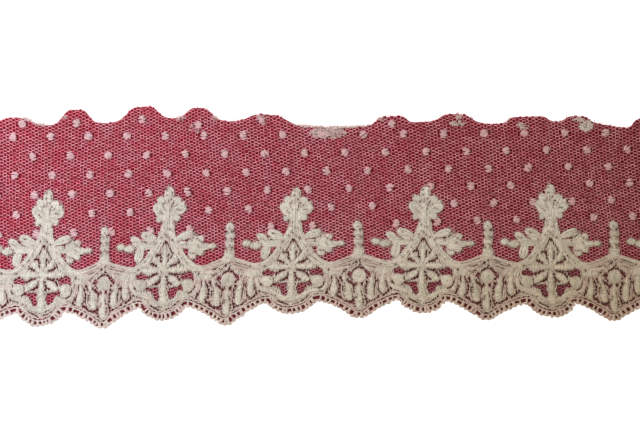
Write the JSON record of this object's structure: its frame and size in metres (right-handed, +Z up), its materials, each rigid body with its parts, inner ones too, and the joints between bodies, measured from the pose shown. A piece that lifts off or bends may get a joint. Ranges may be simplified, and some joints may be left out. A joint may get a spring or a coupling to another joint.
{
  "type": "cotton lace trim with backing cloth",
  "caption": "Flat length of cotton lace edging with a net ground, sewn dots, padded embroidery and a scalloped edge, lying on a crimson backing cloth.",
  "frame": {"origin": "middle of the trim's underside, on the surface that it lies on", "axes": "+X along the trim, +Y across it from the scalloped edge to the cut edge, +Z up out of the face"},
  "size_m": [0.21, 0.069, 0.0031],
  "materials": {
    "cotton": "matt cotton thread",
    "crimson_cloth": "matt plain weave"
  },
  "bodies": {
    "root": {"lace": "cotton", "backing": "crimson_cloth"}
  },
  "joints": []
}
